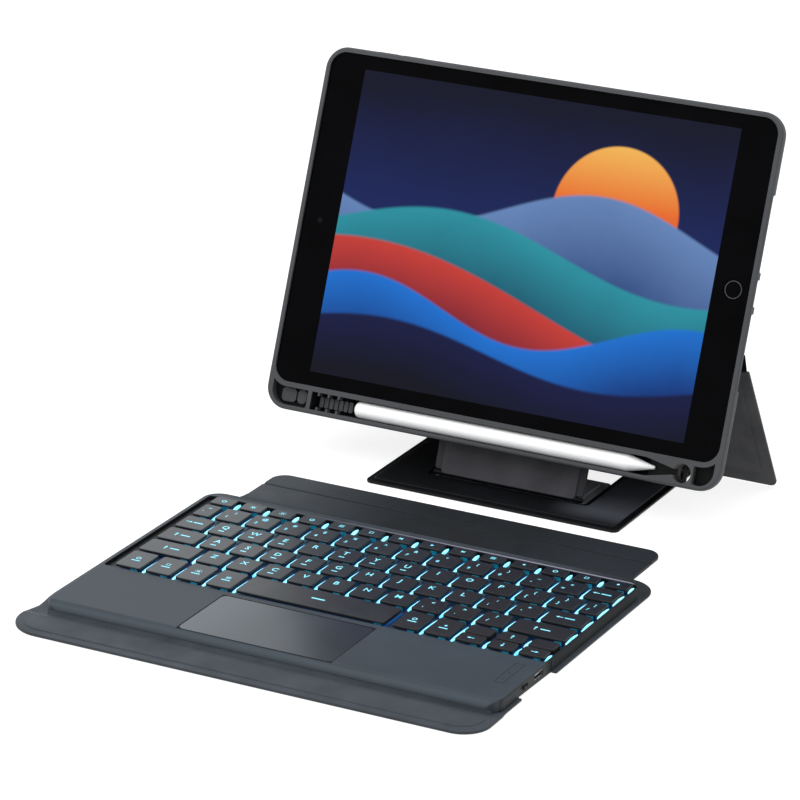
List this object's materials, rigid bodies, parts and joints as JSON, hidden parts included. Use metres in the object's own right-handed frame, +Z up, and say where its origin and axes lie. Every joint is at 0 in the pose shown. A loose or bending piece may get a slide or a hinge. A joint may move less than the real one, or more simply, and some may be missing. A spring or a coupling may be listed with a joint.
{
  "type": "tablet keyboard case",
  "caption": "Soft tray holding a tablet and stylus on a folding leatherette easel, with a separate backlit keyboard and trackpad in front.",
  "frame": {"origin": "middle of the footprint, on the table", "axes": "+X to the typist's right, +Y from the keyboard back to the easel, +Z up"},
  "size_m": [0.2538, 0.3416, 0.1988],
  "materials": {
    "soft_shell": "soft matte moulded shell",
    "easel_leatherette": "fine grained leatherette, near black",
    "stiff_board": "pressed stiffener board",
    "keyboard_leatherette": "fine grained leatherette, slate",
    "deck_plastic": "soft-touch slate plastic",
    "key_plastic": "charcoal, faint sheen",
    "light_guide": "clear sheet lit from its edge",
    "dome_rubber": "matte",
    "steel": "bright stamped steel",
    "trackpad_face": "satin",
    "battery_wrap": "wrapped cells",
    "circuit_board": "soldermask",
    "tablet_metal": "bead blasted",
    "tablet_glass": "black polished glass",
    "screen": "lit display with a plain coloured design",
    "dark_gloss": "polished black",
    "status_light": "small clear lenses",
    "stylus_white": "smooth white"
  },
  "bodies": {
    "easel_base": {"base_cover": "easel_leatherette", "base_board": "stiff_board", "base_flap": "easel_leatherette", "leg_foot_crease": "easel_leatherette", "riser_crease": "easel_leatherette"},
    "leg": {"leg_cover": "easel_leatherette", "leg_board": "stiff_board"},
    "riser": {"riser_cover": "easel_leatherette", "riser_board": "stiff_board"},
    "tray": {"tray_shell": "soft_shell", "back_board": "stiff_board", "back_skin": "easel_leatherette", "leg_top_crease": "easel_leatherette", "tablet_shell": "tablet_metal", "tablet_battery": "battery_wrap", "tablet_glass": "tablet_glass", "tablet_screen": "screen", "front_camera": "tablet_glass", "rear_camera": "tablet_glass"},
    "stylus": {"stylus_barrel": "stylus_white", "stylus_tip": "stylus_white"},
    "home_button": {"home_button": "dark_gloss"},
    "power_cover": {"power_cover": "soft_shell"},
    "volume_up_cover": {"volume_up_cover": "soft_shell"},
    "volume_down_cover": {"volume_down_cover": "soft_shell"},
    "keyboard": {"keyboard_cover": "keyboard_leatherette", "lower_case": "deck_plastic", "keyboard_deck": "deck_plastic", "key_plate": "steel", "dome_sheet": "dome_rubber", "light_guide": "light_guide", "battery_cells": "battery_wrap", "main_board": "circuit_board", "trackpad_bracket": "steel", "usb_c_port": "steel", "status_lights": "status_light", "strip_cover": "keyboard_leatherette", "strip_crease": "keyboard_leatherette", "flap_crease": "keyboard_leatherette"},
    "dock_edge": {"dock_edge": "keyboard_leatherette", "dock_magnets": "steel"},
    "front_flap": {"front_flap": "keyboard_leatherette"},
    "trackpad": {"trackpad": "trackpad_face"},
    "power_switch": {"power_switch": "dark_gloss"},
    "function_keys": {"function_keys": "key_plastic"},
    "number_keys": {"number_keys": "key_plastic"},
    "upper_letter_keys": {"upper_letter_keys": "key_plastic"},
    "home_letter_keys": {"home_letter_keys": "key_plastic"},
    "lower_letter_keys": {"lower_letter_keys": "key_plastic"},
    "modifier_keys": {"modifier_keys": "key_plastic"},
    "arrow_keys": {"arrow_keys": "key_plastic"},
    "space_bar": {"space_bar": "key_plastic"},
    "backspace_key": {"backspace_key": "key_plastic"},
    "tab_key": {"tab_key": "key_plastic"},
    "caps_key": {"caps_key": "key_plastic"},
    "enter_key": {"enter_key": "key_plastic"},
    "left_shift_key": {"left_shift_key": "key_plastic"},
    "right_shift_key": {"right_shift_key": "key_plastic"}
  },
  "joints": [
    {"name": "stand_fold", "type": "hinge", "parent": "easel_base", "child": "leg", "pos_m": [0.0098, 0.16798, 0.0039], "axis": [1, 0, 0], "range_deg": [0, 53.4]},
    {"name": "tray_recline", "type": "hinge", "parent": "leg", "child": "tray", "pos_m": [0.0003, 0.12471, 0.07706], "axis": [1, 0, 0], "range_deg": [-122, 0]},
    {"name": "riser_fold", "type": "hinge", "parent": "easel_base", "child": "riser", "pos_m": [0.0098, 0.09625, 0.0039], "axis": [1, 0, 0], "range_deg": [-68, 0]},
    {"name": "keyboard_slide", "type": "slide", "parent": "easel_base", "child": "keyboard", "axis": [0, 1, 0], "range_m": [-0.03, 0.0125]},
    {"name": "flap_fold", "type": "hinge", "parent": "keyboard", "child": "front_flap", "pos_m": [0.0039, -0.14845, 0.0011], "axis": [-1, 0, 0], "range_deg": [0, 90]},
    {"name": "dock_fold", "type": "hinge", "parent": "keyboard", "child": "dock_edge", "pos_m": [0.0054, 0.04405, 0.00095], "axis": [1, 0, 0], "range_deg": [0, 40]},
    {"name": "stylus_pull", "type": "slide", "parent": "tray", "child": "stylus", "axis": [0, -0.9311, 0.3649], "range_m": [0, 0.05]},
    {"name": "home_press", "type": "slide", "parent": "tray", "child": "home_button", "axis": [0, -0.9311, 0.3649], "range_m": [-0.00025, 0], "stiffness_N_per_m": 2000},
    {"name": "power_press", "type": "slide", "parent": "tray", "child": "power_cover", "axis": [1, 0, 0], "range_m": [0, 0.0003], "stiffness_N_per_m": 2000},
    {"name": "volume_up_press", "type": "slide", "parent": "tray", "child": "volume_up_cover", "axis": [0, 0.3649, 0.9311], "range_m": [-0.0003, 0], "stiffness_N_per_m": 2000},
    {"name": "volume_down_press", "type": "slide", "parent": "tray", "child": "volume_down_cover", "axis": [0, 0.3649, 0.9311], "range_m": [-0.0003, 0], "stiffness_N_per_m": 2000},
    {"name": "trackpad_press", "type": "slide", "parent": "keyboard", "child": "trackpad", "axis": [0, 0, 1], "range_m": [-0.0003, 0], "stiffness_N_per_m": 3000},
    {"name": "power_switch_slide", "type": "slide", "parent": "keyboard", "child": "power_switch", "axis": [0, 1, 0], "range_m": [0, 0.0024]},
    {"name": "function_keys_press", "type": "slide", "parent": "keyboard", "child": "function_keys", "axis": [0, 0, 1], "range_m": [-0.0012, 0], "stiffness_N_per_m": 500},
    {"name": "number_keys_press", "type": "slide", "parent": "keyboard", "child": "number_keys", "axis": [0, 0, 1], "range_m": [-0.0012, 0], "stiffness_N_per_m": 500},
    {"name": "upper_letter_keys_press", "type": "slide", "parent": "keyboard", "child": "upper_letter_keys", "axis": [0, 0, 1], "range_m": [-0.0012, 0], "stiffness_N_per_m": 500},
    {"name": "home_letter_keys_press", "type": "slide", "parent": "keyboard", "child": "home_letter_keys", "axis": [0, 0, 1], "range_m": [-0.0012, 0], "stiffness_N_per_m": 500},
    {"name": "lower_letter_keys_press", "type": "slide", "parent": "keyboard", "child": "lower_letter_keys", "axis": [0, 0, 1], "range_m": [-0.0012, 0], "stiffness_N_per_m": 500},
    {"name": "modifier_keys_press", "type": "slide", "parent": "keyboard", "child": "modifier_keys", "axis": [0, 0, 1], "range_m": [-0.0012, 0], "stiffness_N_per_m": 500},
    {"name": "arrow_keys_press", "type": "slide", "parent": "keyboard", "child": "arrow_keys", "axis": [0, 0, 1], "range_m": [-0.0012, 0], "stiffness_N_per_m": 500},
    {"name": "space_bar_press", "type": "slide", "parent": "keyboard", "child": "space_bar", "axis": [0, 0, 1], "range_m": [-0.0012, 0], "stiffness_N_per_m": 500},
    {"name": "backspace_key_press", "type": "slide", "parent": "keyboard", "child": "backspace_key", "axis": [0, 0, 1], "range_m": [-0.0012, 0], "stiffness_N_per_m": 500},
    {"name": "tab_key_press", "type": "slide", "parent": "keyboard", "child": "tab_key", "axis": [0, 0, 1], "range_m": [-0.0012, 0], "stiffness_N_per_m": 500},
    {"name": "caps_key_press", "type": "slide", "parent": "keyboard", "child": "caps_key", "axis": [0, 0, 1], "range_m": [-0.0012, 0], "stiffness_N_per_m": 500},
    {"name": "enter_key_press", "type": "slide", "parent": "keyboard", "child": "enter_key", "axis": [0, 0, 1], "range_m": [-0.0012, 0], "stiffness_N_per_m": 500},
    {"name": "left_shift_key_press", "type": "slide", "parent": "keyboard", "child": "left_shift_key", "axis": [0, 0, 1], "range_m": [-0.0012, 0], "stiffness_N_per_m": 500},
    {"name": "right_shift_key_press", "type": "slide", "parent": "keyboard", "child": "right_shift_key", "axis": [0, 0, 1], "range_m": [-0.0012, 0], "stiffness_N_per_m": 500}
  ],
  "couplings": [
    {"joint": "tray_recline", "follows": "stand_fold", "ratio": -2.2846},
    {"joint": "riser_fold", "follows": "stand_fold", "ratio": -1.2734}
  ]
}
